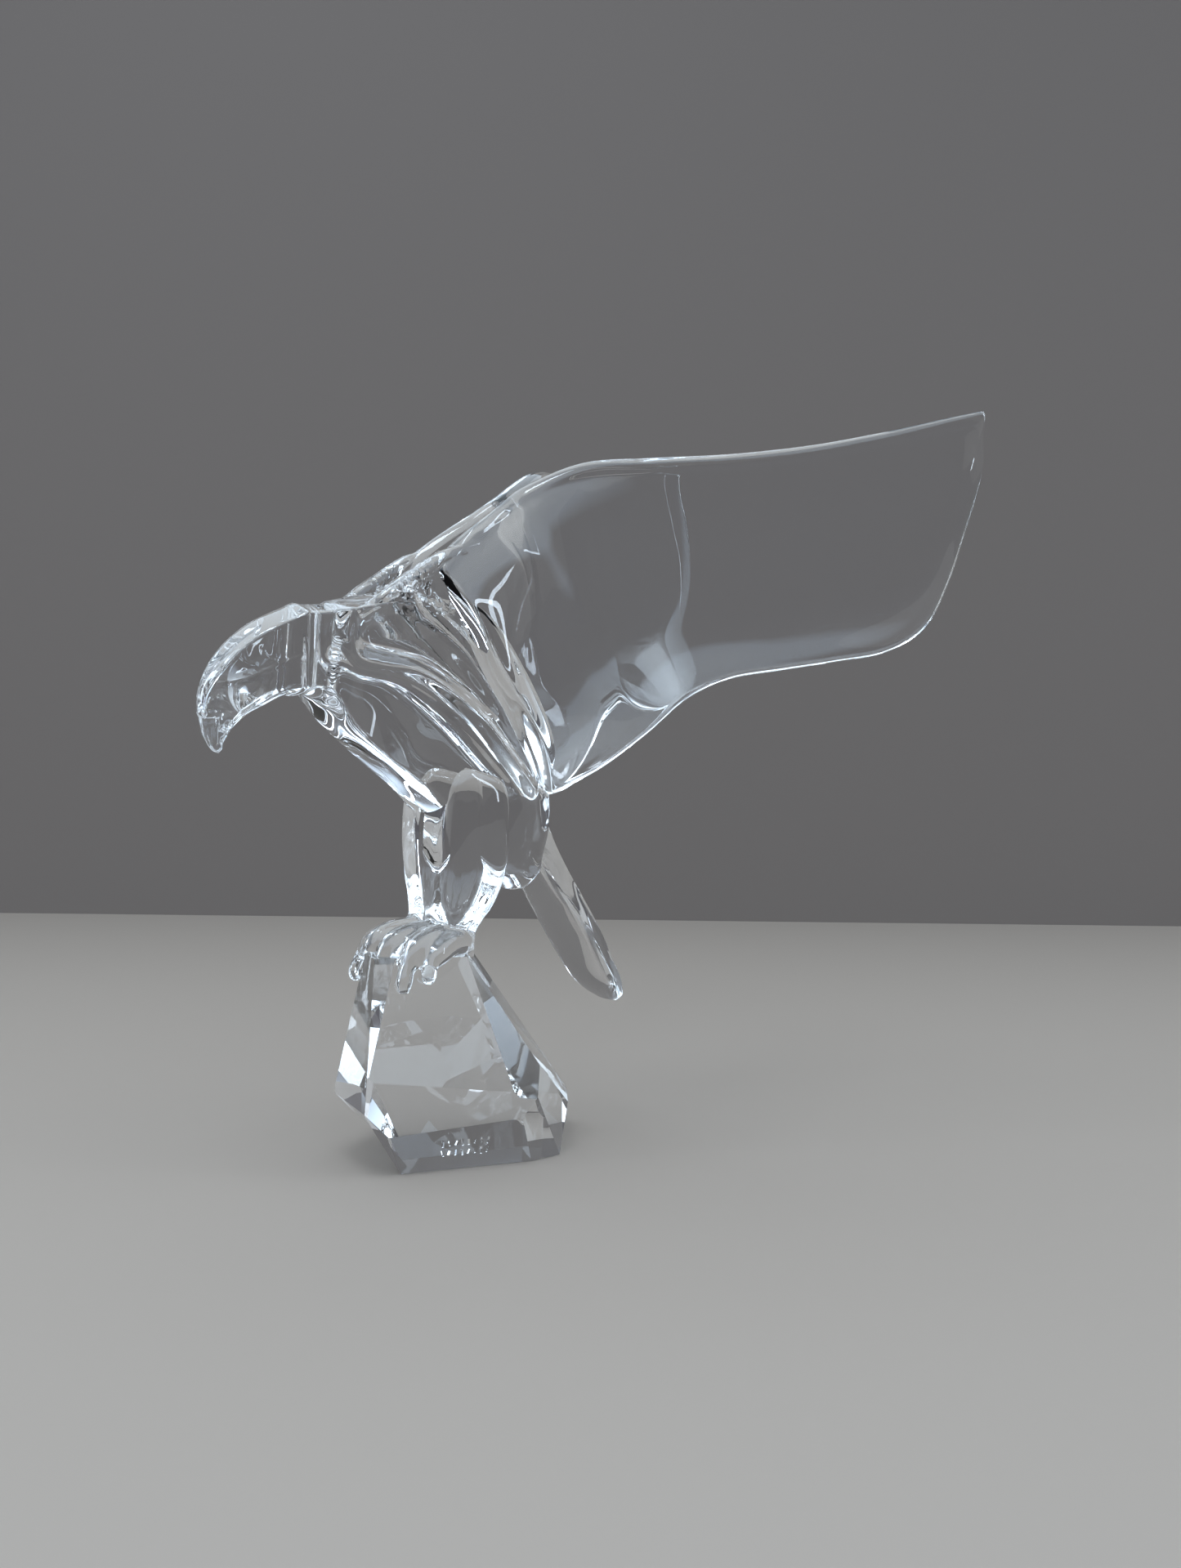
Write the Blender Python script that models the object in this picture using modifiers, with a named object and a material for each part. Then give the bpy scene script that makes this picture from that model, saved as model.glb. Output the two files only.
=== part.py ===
# Crystal eagle on a faceted rock: one casting of clear crystal, in metres, +Z up.
# The bird faces -X, its left wing is on -Y, and the origin is on the flat underside of the rock.

import math

import bmesh
import bpy
import numpy as np
from mathutils import Vector

# Driving sizes, in metres
HEIGHT = 0.288
WING_SPREAD = 0.196
BLADE_THICKNESS = 0.0095
LEADING_ROUND = 0.0032
TRAILING_ROUND = 0.0022
TIP_ROUND = 0.0014
ROOT_ROUND = 0.0050
ROOT_SWELL = 0.0042
DISH_DEPTH = 0.0024
CHANNEL_DEPTH = 0.0034
COLLAR_RISE = 0.0018
ROCK_HEIGHT = 0.0765
ROCK_FRONT = 0.0399
ROCK_BACK = 0.0298
ROCK_LEFT = 0.0555
ROCK_RIGHT = 0.0335
BLOCK = 0.4

# The bird is drawn as a maquette 288 units tall, and every free form scales with it
MAQUETTE_HEIGHT = 288.0
UNIT = HEIGHT / MAQUETTE_HEIGHT

# How finely the forms are laid out, fused and thinned
RING_POINTS = 96
TRUNK_ROWS = 110
TAIL_ROWS = 40
BLADE_ROWS = 60
BLADE_POINTS = 28
ROLL_ROWS = 30
ROLL_POINTS = 32
TOE_ROWS = 14
TOE_POINTS = 12
LINE_STEPS = 4
VOXEL = 0.0013
SMOOTH_FACTOR = 0.5
SMOOTH_ROUNDS = 3
FACES_KEPT = 0.045

NAME = "crystal_eagle"


def clear_scene():
    for old in list(bpy.data.objects):
        bpy.data.objects.remove(old, do_unlink=True)
    for old in list(bpy.data.collections):
        bpy.data.collections.remove(old)


def new_collection(name):
    collection = bpy.data.collections.new(name)
    bpy.context.scene.collection.children.link(collection)
    return collection


def crystal():
    """Clear colourless lead crystal with a fire polish."""
    material = bpy.data.materials.new("clear_crystal")
    material.use_nodes = True
    shader = material.node_tree.nodes["Principled BSDF"]
    shader.inputs["Base Color"].default_value = (0.96, 0.98, 0.99, 1.0)
    shader.inputs["Roughness"].default_value = 0.02
    shader.inputs["Metallic"].default_value = 0.0
    shader.inputs["IOR"].default_value = 1.55
    shader.inputs["Transmission Weight"].default_value = 1.0
    return material


def smooth_rows(rows, count):
    """Rows of stations read as one smooth curve, with count new rows evenly spaced from first to last."""
    rows = np.array(rows, dtype=float)
    steps = np.linspace(0.0, len(rows) - 1.0, count)
    before = np.vstack([2 * rows[0] - rows[1], rows, 2 * rows[-1] - rows[-2]])
    index = np.minimum(steps.astype(int), len(rows) - 2)
    t = (steps - index)[:, None]
    a, b, c, d = (before[index + shift] for shift in range(4))
    return 0.5 * (2 * b + (c - a) * t + (2 * a - 5 * b + 4 * c - d) * t**2 + (3 * b - a - 3 * c + d) * t**3)


def quarter_round(depth, reach):
    """0 at the edge and 1 from the reach inward, along a quarter circle."""
    t = np.clip(depth / reach, 0.0, 1.0)
    return np.sqrt(t * (2 - t))


def loft(rings, material, name):
    """A closed body through rings whose section changes all along, which is why its faces are made here."""
    rings = np.asarray(rings) * UNIT
    count, around, _ = rings.shape
    body = bmesh.new()
    points = [[body.verts.new(p) for p in ring] for ring in rings]
    for near, far in zip(points, points[1:]):
        for i in range(around):
            j = (i + 1) % around
            body.faces.new((near[i], near[j], far[j], far[i]))
    for ring, source in ((points[0], rings[0]), (points[-1], rings[-1])):
        middle = body.verts.new(source.mean(axis=0))
        for i in range(around):
            body.faces.new((ring[i], ring[(i + 1) % around], middle))
    bmesh.ops.recalc_face_normals(body, faces=body.faces)
    mesh = bpy.data.meshes.new(name)
    body.to_mesh(mesh)
    body.free()
    mesh.materials.append(material)
    return bpy.data.objects.new(name, mesh)


# Beak tip, beak, crown and chin, nape, neck groove, breast and back, down to the vent, in maquette units:
# top x, top z, low x, low z, half width, height of the roof, softness of its edge, rounding of the low end,
# and how much it narrows upward
TRUNK = (
    (-107.4, 150.8, -105.2, 149.9, 0.9, 0.4, 0.6, 0.8, 0.0),
    (-108.8, 152.8, -104.2, 151.4, 1.8, 0.6, 0.8, 1.2, 0.0),
    (-110.6, 156.4, -103.2, 154.4, 2.5, 1.0, 1.0, 1.6, 0.0),
    (-112.0, 161.6, -101.2, 157.8, 3.2, 1.6, 1.2, 2.0, 0.0),
    (-112.6, 167.4, -98.2, 160.8, 4.2, 2.0, 1.4, 2.4, 0.0),
    (-111.6, 173.4, -94.8, 163.4, 5.4, 2.6, 1.5, 2.6, 0.0),
    (-107.8, 181.0, -91.0, 165.6, 7.4, 3.4, 1.6, 2.8, 0.0),
    (-101.4, 188.4, -87.4, 167.6, 9.4, 4.0, 1.8, 3.0, 0.0),
    (-92.4, 195.0, -83.6, 169.2, 10.8, 4.4, 1.8, 3.2, 0.0),
    (-82.6, 199.6, -80.0, 170.2, 11.8, 4.6, 1.8, 3.2, 0.0),
    (-78.0, 201.8, -78.6, 169.6, 12.2, 4.6, 1.8, 3.2, 0.0),
    (-75.4, 201.5, -76.6, 170.6, 9.8, 4.0, 2.4, 3.6, 0.0),
    (-67.8, 202.0, -71.0, 170.0, 9.6, 4.0, 2.4, 4.0, 0.0),
    (-63.8, 203.4, -67.4, 166.4, 14.6, 4.6, 2.2, 3.6, 0.05),
    (-53.0, 205.8, -59.0, 156.4, 12.4, 5.0, 3.0, 3.6, -0.28),
    (-38.0, 208.5, -44.0, 144.2, 11.6, 5.0, 4.0, 4.0, -0.38),
    (-21.0, 208.0, -31.0, 134.4, 13.0, 6.0, 5.0, 5.0, -0.24),
    (-2.0, 200.0, -16.0, 120.0, 15.6, 8.0, 6.0, 6.0, 0.0),
    (14.0, 184.0, -1.0, 107.0, 17.0, 10.0, 6.0, 8.0, 0.18),
    (25.0, 162.0, 10.0, 99.0, 15.4, 10.0, 6.0, 8.0, 0.14),
    (30.0, 141.0, 18.0, 95.8, 13.0, 10.0, 6.0, 10.0, 0.10),
    (31.0, 126.0, 24.0, 99.0, 9.6, 9.0, 5.0, 7.0, 0.0),
)

# Tail plank, with the same columns
TAIL = (
    (28.0, 132.0, 10.0, 118.0, 8.0, 3.0, 3.0, 6.0, 0.0),
    (31.0, 117.0, 20.5, 109.5, 10.4, 1.0, 2.0, 3.0, 0.0),
    (37.0, 103.0, 29.0, 97.5, 13.2, 0.8, 1.6, 2.0, 0.0),
    (43.5, 91.5, 37.0, 87.0, 15.4, 0.8, 1.4, 1.8, 0.0),
    (50.0, 80.5, 44.5, 76.5, 16.4, 0.8, 1.4, 1.8, 0.0),
    (56.5, 69.0, 52.0, 65.5, 16.2, 0.8, 1.2, 1.6, 0.0),
    (63.0, 58.0, 59.2, 55.2, 14.8, 0.6, 1.2, 1.4, 0.0),
    (66.8, 51.2, 64.2, 49.6, 11.6, 0.5, 1.0, 1.2, 0.0),
    (68.6, 47.8, 67.0, 47.0, 6.4, 0.4, 0.8, 1.0, 0.0),
)
RIDGE_SOFTNESS = 0.25


def upright(stations, count):
    """Rings across the bird's middle plane: flat flanks under a low roof, with the low end rounded."""
    columns = smooth_rows(stations, count).T[:, :, None]
    top_x, top_z, low_x, low_z, half, roof, corner, round_low, taper = columns
    turn = np.linspace(0.0, 2 * math.pi, RING_POINTS, endpoint=False)
    rise = -np.cos(turn)
    reach = np.hypot(top_x - low_x, top_z - low_z) / 2
    half = half * (1 - taper * (rise + 1) / 2)
    u = (1 - rise) * reach / roof
    roof_line = half * np.sqrt(u * (u + 2 * RIDGE_SOFTNESS))
    blend = np.clip((1 + (half - roof_line) / corner) / 2, 0.0, 1.0)
    wide = half * (1 - blend) + roof_line * blend - corner * blend * (1 - blend) * np.minimum(u, 1.0)
    wide = wide * quarter_round((1 + rise) * reach, round_low)
    return np.stack([
        (top_x + low_x) / 2 + rise * (top_x - low_x) / 2,
        np.sign(np.sin(turn)) * wide,
        (top_z + low_z) / 2 + rise * (top_z - low_z) / 2,
    ], axis=-1)


# Carved lines on the side view, in maquette units: the hollow panel, the channel and the raised band
DISH = (
    (-59.6, 197.6), (-54.0, 201.3), (-46.0, 206.9), (-42.6, 203.5), (-37.0, 198.3),
    (-29.4, 192.4), (-18.6, 185.4), (-7.5, 174.6), (2.0, 162.0), (-3.7, 163.8),
    (-13.0, 169.8), (-23.9, 176.1), (-36.3, 182.2), (-49.9, 184.0), (-57.0, 185.8),
    (-60.2, 190.6),
)
CHANNEL = (
    (-39.0, 208.5), (-36.0, 201.8), (-27.4, 195.3), (-16.6, 187.6), (-7.4, 177.4),
    (1.6, 166.6), (9.4, 154.6), (17.2, 142.0), (21.6, 133.0), (24.0, 135.6), (21.0, 142.6),
    (14.2, 153.6), (6.0, 166.0), (-3.6, 179.8), (-12.6, 191.4), (-20.4, 200.2),
    (-27.6, 205.6), (-33.0, 211.0),
)
COLLAR = (
    (-63.0, 199.6), (-63.8, 192.6), (-63.0, 187.0), (-59.6, 182.8), (-50.0, 181.0),
    (-36.2, 178.8), (-22.1, 171.7), (-7.4, 160.8), (4.0, 148.6), (15.8, 136.0),
)
DISH_WIDTH = 7.0
CHANNEL_WIDTH = 5.0
COLLAR_WIDTH = 2.2
FLANK_FROM = 3.0
CARVED_TO_X = 34.0
CARVED_FROM_Z = 120.0


def away_from(points, line):
    """Least distance in the side view from each point to the line."""
    line = smooth_rows(line, len(line) * LINE_STEPS)
    flat = points[:, (0, 2)]
    best = np.full(len(points), np.inf)
    for a, b in zip(line, line[1:]):
        t = np.clip(((flat - a) @ (b - a)) / ((b - a) @ (b - a)), 0.0, 1.0)
        best = np.minimum(best, np.linalg.norm(flat - a - t[:, None] * (b - a), axis=1))
    return best


def inside(points, corners):
    """Whether each point lies inside the closed outline in the side view."""
    flat = points[:, (0, 2)]
    corners = smooth_rows(corners + corners[:1], len(corners) * LINE_STEPS)
    crossings = np.zeros(len(points), dtype=int)
    for (x1, z1), (x2, z2) in zip(corners, corners[1:]):
        if z1 != z2:
            over = (z1 > flat[:, 1]) != (z2 > flat[:, 1])
            crossings += over & (flat[:, 0] < (x2 - x1) * (flat[:, 1] - z1) / (z2 - z1) + x1)
    return crossings % 2 == 1


def carved(rings):
    """The panel and the channel go in from the flank, and the band stands out."""
    points = rings.reshape(-1, 3).copy()
    flank = np.clip(np.abs(points[:, 1]) / FLANK_FROM - 1, 0.0, 1.0)
    flank = flank * (points[:, 0] < CARVED_TO_X) * (points[:, 2] > CARVED_FROM_Z)
    move = COLLAR_RISE * np.exp(-((away_from(points, COLLAR) / COLLAR_WIDTH) ** 2))
    for outline, depth, width in ((DISH, DISH_DEPTH, DISH_WIDTH), (CHANNEL, CHANNEL_DEPTH, CHANNEL_WIDTH)):
        t = np.clip(away_from(points, outline + outline[:1]) / width, 0.0, 1.0)
        move = move - inside(points, outline) * depth * t * (2 - t)
    points[:, 1] += np.sign(points[:, 1]) * flank * move / UNIT
    return points.reshape(rings.shape)


# One wing: leading x, z, trailing x, z, in maquette units, and share of the blade's thickness
WING = (
    (-29.6, 215.6, 24.0, 133.4, 1.20),
    (-26.4, 219.2, 26.4, 134.0, 1.22),
    (-21.6, 223.6, 30.0, 135.4, 1.25),
    (-12.0, 231.2, 36.6, 139.4, 1.25),
    (2.0, 240.6, 46.0, 145.0, 1.20),
    (20.0, 252.8, 62.0, 158.0, 1.05),
    (40.0, 262.2, 76.0, 171.0, 1.00),
    (64.0, 265.2, 92.0, 179.2, 1.00),
    (92.0, 268.2, 112.0, 183.2, 1.00),
    (119.0, 272.8, 133.0, 187.0, 1.00),
    (142.0, 278.4, 153.4, 191.6, 0.95),
    (157.0, 282.6, 168.0, 201.6, 0.85),
    (167.0, 285.6, 176.4, 219.4, 0.72),
    (173.6, 287.4, 182.6, 240.6, 0.58),
    (178.0, 288.6, 187.8, 260.0, 0.48),
    (180.0, 289.0, 190.4, 272.0, 0.40),
)
SHOULDER_X = -29.0
WRIST_X = 14.0
SWELL_END_X = 75.0
THIN_FROM_X = 90.0
TIP_X = 178.0
LEADING_AT_SHOULDER = 12.5
LEADING_AT_WRIST = 3.5
LEADING_POWER = 1.12
TRAILING_AT_ROOT = 13.5
TRAILING_X = 20.0
TRAILING_TURN_X = 155.0
TRAILING_FLARE = 0.72
TRAILING_POWER = 1.1
EDGE_FALL = 26.0
CAP_START = 0.05


def leading_side(x):
    """How far the leading edge stands out: it draws in to the wrist, then flares to the tip."""
    reach = WING_SPREAD / 2 / UNIT - LEADING_AT_WRIST
    draw = np.clip((WRIST_X - x) / (WRIST_X - SHOULDER_X), 0.0, 1.0)
    flare = np.clip((x - WRIST_X) / (TIP_X - WRIST_X), 0.0, None)
    return LEADING_AT_WRIST + (LEADING_AT_SHOULDER - LEADING_AT_WRIST) * draw + reach * flare**LEADING_POWER


def trailing_side(x):
    """How far the trailing edge stands out: it starts from the rump and flares less than the leading edge."""
    reach = (WING_SPREAD / 2 / UNIT - TRAILING_AT_ROOT) * TRAILING_FLARE
    flare = np.clip((x - TRAILING_X) / (TRAILING_TURN_X - TRAILING_X), 0.0, None)
    return TRAILING_AT_ROOT + reach * flare**TRAILING_POWER


def wing(side):
    """A thin plate with rounded edges, swelling inward at its root and rounded where it leaves the body."""
    lead_x, lead_z, trail_x, trail_z, share = smooth_rows(WING, BLADE_ROWS).T
    lead = np.stack([lead_x, leading_side(lead_x), lead_z], axis=1)
    chord = np.stack([trail_x, trailing_side(trail_x), trail_z], axis=1) - lead
    length = np.linalg.norm(chord, axis=1)[:, None]
    normal = np.cross(chord, (1.0, 0.0, 1.0))
    normal /= np.linalg.norm(normal, axis=1)[:, None]
    turn = np.linspace(0.0, math.pi, BLADE_POINTS)[None, :]
    across = (1 - np.cos(turn)) / 2
    inset = np.minimum(across, 1 - across) * length
    to_tip = np.clip((lead_x - THIN_FROM_X) / (TIP_X - THIN_FROM_X), 0.0, 1.0)[:, None]
    edge_round = (LEADING_ROUND + (TRAILING_ROUND - LEADING_ROUND) * across) / UNIT
    edge_round = edge_round + (TIP_ROUND / UNIT - edge_round) * to_tip * np.maximum(across, to_tip)
    half = edge_round * quarter_round(inset, edge_round)
    plate = quarter_round(inset, EDGE_FALL) ** 3
    half = half + (share[:, None] * BLADE_THICKNESS / UNIT / 2 - edge_round) * plate
    near_root = np.clip((SWELL_END_X - lead_x) / (SWELL_END_X - WRIST_X), 0.0, 1.0)[:, None]
    swell = ROOT_SWELL / UNIT * near_root * np.sin(turn) ** 2
    travelled = np.cumsum(np.linalg.norm(np.diff(lead, axis=0, prepend=lead[:1]), axis=1))[:, None]
    cap = quarter_round(travelled + CAP_START, ROOT_ROUND / UNIT)
    middle = lead[:, None] + across[..., None] * chord[:, None]
    outer = middle + (cap * half)[..., None] * normal[:, None]
    inner = middle - (cap * (half + swell))[..., None] * normal[:, None]
    rings = np.concatenate([outer, inner[:, -2:0:-1]], axis=1)
    rings[..., 1] *= side
    return rings


def roll(path, side, count, around, power=2.0):
    """A body along a path: x, y, z, half height, half width. A power over 2 squares its section."""
    rows = smooth_rows(path, count)
    ahead = np.gradient(rows[:, :3], axis=0)
    ahead /= np.linalg.norm(ahead, axis=1)[:, None]
    across = np.cross(ahead, (0.0, 1.0, 0.0))
    across /= np.linalg.norm(across, axis=1)[:, None]
    beside = np.cross(across, ahead)
    turn = np.linspace(0.0, 2 * math.pi, around, endpoint=False)
    cosine = np.sign(np.cos(turn)) * np.abs(np.cos(turn)) ** (2 / power)
    sine = np.sign(np.sin(turn)) * np.abs(np.sin(turn)) ** (2 / power)
    high, wide = cosine * rows[:, 3:4], sine * rows[:, 4:5]
    rings = rows[:, None, :3] + high[..., None] * across[:, None] + wide[..., None] * beside[:, None]
    rings[..., 1] *= side
    return rings


# The left shoulder, from the neck up into the blade, in maquette units: x, y, z, half height, half width
SHOULDER = (
    (-64.0, -10.0, 194.0, 4.0, 2.6),
    (-57.0, -10.8, 194.6, 6.6, 3.6),
    (-48.0, -11.2, 197.0, 9.4, 4.0),
    (-38.0, -11.4, 200.4, 12.6, 4.2),
    (-28.0, -11.6, 203.6, 15.4, 4.2),
    (-18.0, -11.8, 207.4, 17.0, 4.2),
    (-9.0, -11.8, 212.0, 16.0, 4.0),
)
SHOULDER_POWER = 3.6

# The left leg, from the thigh down to the rock, with the same columns
LEG = (
    (-6.0, -5.0, 147.0, 5.0, 4.0),
    (-7.0, -5.4, 143.0, 10.6, 9.4),
    (-8.2, -5.8, 136.0, 14.0, 12.4),
    (-8.8, -5.8, 122.0, 15.2, 13.2),
    (-9.0, -5.6, 108.0, 15.0, 12.4),
    (-10.6, -5.6, 98.0, 13.4, 10.6),
    (-12.8, -5.8, 90.5, 10.8, 8.4),
    (-14.6, -6.4, 84.0, 8.4, 7.4),
    (-15.2, -7.0, 77.5, 7.8, 7.6),
    (-15.4, -7.2, 72.0, 7.2, 7.2),
)
LEG_POWER = 4.0

# The pad under the left foot, which fills the hollow between its toes, with the same columns
PAD = (
    (-10.0, -6.6, 78.4, 4.0, 8.4),
    (-20.0, -7.0, 78.6, 4.6, 9.6),
    (-30.0, -7.0, 78.0, 4.6, 9.8),
    (-38.0, -6.6, 76.6, 4.0, 9.2),
    (-42.4, -6.0, 74.0, 2.0, 6.6),
)

# Toes of the left foot, ankle to claw, with the same columns
TOES = (
    (
        (-17.0, -6.0, 80.5, 6.0, 5.0),
        (-28.0, -5.4, 82.0, 5.8, 4.8),
        (-38.0, -5.0, 80.0, 5.4, 4.6),
        (-43.4, -4.8, 74.5, 3.6, 3.2),
        (-46.0, -4.8, 69.4, 3.4, 3.2),
        (-46.6, -4.8, 65.6, 1.8, 1.8),
    ),
    (
        (-16.0, -9.0, 80.0, 6.0, 5.0),
        (-27.0, -11.6, 81.0, 5.6, 4.8),
        (-35.0, -13.8, 78.0, 5.2, 4.6),
        (-39.8, -15.4, 72.5, 3.2, 3.0),
        (-41.8, -16.4, 67.4, 3.2, 3.0),
        (-42.2, -17.0, 63.8, 1.8, 1.8),
    ),
    (
        (-13.0, -10.5, 79.0, 5.4, 5.0),
        (-22.0, -14.8, 79.0, 5.0, 4.6),
        (-29.0, -17.8, 76.5, 4.4, 4.2),
        (-32.4, -19.4, 73.6, 3.0, 2.8),
        (-34.2, -20.8, 70.0, 3.0, 2.8),
        (-34.8, -21.6, 67.0, 1.8, 1.8),
    ),
    (
        (-18.0, -8.0, 79.0, 5.0, 5.4),
        (-13.6, -8.2, 78.4, 4.8, 5.2),
        (-10.4, -8.4, 75.6, 3.6, 4.2),
        (-9.2, -8.6, 71.4, 2.2, 2.6),
        (-8.8, -8.8, 67.6, 0.8, 0.8),
    ),
)


# Facets of the rock: azimuth and tilt of the face in degrees, and its distance from the origin in metres
def facets_all_round():
    return (
        (-110.4, 10.8, ROCK_FRONT),
        (-109.0, -12.5, ROCK_FRONT - 0.0070),
        (-169.0, 11.5, ROCK_LEFT + 0.0096),
        (167.5, 7.0, ROCK_LEFT),
        (-34.2, 33.8, ROCK_RIGHT + 0.0063),
        (-39.0, -9.4, ROCK_RIGHT),
        (-70.0, 4.0, ROCK_RIGHT + 0.0054),
        (-90.5, -7.0, ROCK_RIGHT + 0.0023),
        (-10.0, -12.0, ROCK_RIGHT + 0.0060),
        (35.0, 24.0, ROCK_RIGHT + 0.0030),
        (35.0, -14.0, ROCK_RIGHT - 0.0005),
        (75.0, 14.0, ROCK_BACK),
        (80.0, -16.0, ROCK_BACK - 0.0078),
        (128.0, 16.0, ROCK_BACK + 0.0200),
        (130.0, -26.0, ROCK_BACK + 0.0010),
        (-90.0, 87.0, ROCK_HEIGHT),
    )


def facets_of_the_stone():
    """The left end is undercut, so that it overhangs the foot."""
    return facets_all_round() + ((167.6, -44.6, ROCK_LEFT - 0.0336),)


def facets_of_the_foot():
    """The foot reaches forward to the left as a corner under the overhang."""
    return facets_all_round() + (
        (147.3, -29.7, ROCK_LEFT - 0.0319),
        (-148.0, -22.8, ROCK_FRONT + 0.0052),
    )


def cut_block(facets, material, name):
    """A block cut by one plane after another, standing on its flat underside."""
    body = bmesh.new()
    bmesh.ops.create_cube(body, size=BLOCK)
    bmesh.ops.translate(body, verts=body.verts, vec=(0.0, 0.0, BLOCK / 2))
    for azimuth, tilt, distance in facets:
        turn, lean = math.radians(azimuth), math.radians(tilt)
        normal = Vector((math.cos(turn) * math.cos(lean), math.sin(turn) * math.cos(lean), math.sin(lean)))
        everything = body.verts[:] + body.edges[:] + body.faces[:]
        cut = bmesh.ops.bisect_plane(
            body, geom=everything, plane_co=normal * distance, plane_no=normal, clear_outer=True
        )
        rim = [part for part in cut["geom_cut"] if isinstance(part, bmesh.types.BMEdge)]
        bmesh.ops.contextual_create(body, geom=rim)
    bmesh.ops.recalc_face_normals(body, faces=body.faces)
    mesh = bpy.data.meshes.new(name)
    body.to_mesh(mesh)
    body.free()
    mesh.materials.append(material)
    return bpy.data.objects.new(name, mesh)


def joined(bodies, name, collection):
    """One mesh from many overlapping closed bodies, which the remesh then fuses."""
    body = bmesh.new()
    for piece in bodies:
        body.from_mesh(piece.data)
    mesh = bpy.data.meshes.new(name)
    body.to_mesh(mesh)
    body.free()
    mesh.materials.append(bodies[0].data.materials[0])
    for piece in bodies:
        bpy.data.objects.remove(piece, do_unlink=True)
    whole = bpy.data.objects.new(name, mesh)
    collection.objects.link(whole)
    return whole


def build():
    clear_scene()
    piece = new_collection(NAME)
    helpers = new_collection("cutters")
    material = crystal()

    bodies = [
        loft(carved(upright(TRUNK, TRUNK_ROWS)), material, "trunk"),
        loft(upright(TAIL, TAIL_ROWS), material, "tail"),
    ]
    for side in (-1, 1):
        bodies.append(loft(wing(side), material, "wing"))
        shoulder = roll(SHOULDER, -side, ROLL_ROWS, ROLL_POINTS, SHOULDER_POWER)
        bodies.append(loft(carved(shoulder), material, "shoulder"))
        bodies.append(loft(roll(LEG, -side, ROLL_ROWS, ROLL_POINTS, LEG_POWER), material, "leg"))
        for toe in (PAD, *TOES):
            bodies.append(loft(roll(toe, -side, TOE_ROWS, TOE_POINTS), material, "toe"))
    eagle = joined(bodies, NAME, piece)

    fuse = eagle.modifiers.new("fuse", "REMESH")
    fuse.mode = "VOXEL"
    fuse.voxel_size = VOXEL
    polish = eagle.modifiers.new("polish", "SMOOTH")
    polish.factor = SMOOTH_FACTOR
    polish.iterations = SMOOTH_ROUNDS
    thin = eagle.modifiers.new("thin", "DECIMATE")
    thin.ratio = FACES_KEPT

    for facets, name in ((facets_of_the_stone(), "stone"), (facets_of_the_foot(), "foot")):
        block = cut_block(facets, material, name)
        helpers.objects.link(block)
        block.hide_render = True
        block.display_type = "WIRE"
        stand = eagle.modifiers.new(name, "BOOLEAN")
        stand.operation = "UNION"
        stand.object = block


build()
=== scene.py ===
# %% [markdown]
# # A crystal eagle on a cut rock
# The real thing is one heavy casting of clear, colourless crystal. The bird leans forward over a faceted
# rock, its two wings stand up behind it as thin blades, and everything is polished until it shines. The
# imported solid comes in first. The finished piece has to stay inside its box.

import math

import bmesh
import bpy
import numpy as np
from mathutils import Matrix, Vector


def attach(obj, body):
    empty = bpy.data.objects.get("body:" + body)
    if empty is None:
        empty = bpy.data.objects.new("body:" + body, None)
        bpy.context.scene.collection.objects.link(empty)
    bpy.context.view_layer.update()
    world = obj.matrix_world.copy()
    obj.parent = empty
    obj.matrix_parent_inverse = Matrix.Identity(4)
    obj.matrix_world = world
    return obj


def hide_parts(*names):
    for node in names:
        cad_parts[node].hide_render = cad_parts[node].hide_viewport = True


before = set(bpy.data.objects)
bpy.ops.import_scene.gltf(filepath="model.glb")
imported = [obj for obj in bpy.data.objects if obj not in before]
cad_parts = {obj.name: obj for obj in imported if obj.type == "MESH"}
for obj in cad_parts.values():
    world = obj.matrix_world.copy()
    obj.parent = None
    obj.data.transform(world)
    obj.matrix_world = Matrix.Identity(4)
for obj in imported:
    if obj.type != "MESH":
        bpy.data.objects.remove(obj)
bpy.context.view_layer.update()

MM = 0.001
NODE = "crystal_eagle"
STAND = bpy.context.scene.collection


# %% [markdown]
# ## Rows that become curves
# A sculptor would give the profile at a few places and let the eye run a smooth line through them. The same
# is done here: each form is a short table of stations, and a smooth curve through them gives as many rows
# as the surface needs. Blender's own curve objects could do it, but whole arrays are quicker and can be
# shaped further.

# %% Curve, section and skin
def smooth_rows(rows, count):
    """Catmull-Rom: between rows b and c it is half of 2b + (c-a)t + (2a-5b+4c-d)t^2 + (3b-a-3c+d)t^3."""
    rows = np.array(rows, dtype=float)
    steps = np.linspace(0.0, len(rows) - 1.0, count)
    before = np.vstack([2 * rows[0] - rows[1], rows, 2 * rows[-1] - rows[-2]])
    index = np.minimum(steps.astype(int), len(rows) - 2)
    t = (steps - index)[:, None]
    a, b, c, d = (before[index + shift] for shift in range(4))
    return 0.5 * (2 * b + (c - a) * t + (2 * a - 5 * b + 4 * c - d) * t**2 + (3 * b - a - 3 * c + d) * t**3)


def rounded(angle, power):
    """A superellipse: cosine and sine, each raised to 2/power, with its sign kept. Power 2 is a circle."""
    c, s = np.cos(angle), np.sin(angle)
    return np.sign(c) * np.abs(c) ** (2 / power), np.sign(s) * np.abs(s) ** (2 / power)


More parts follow.
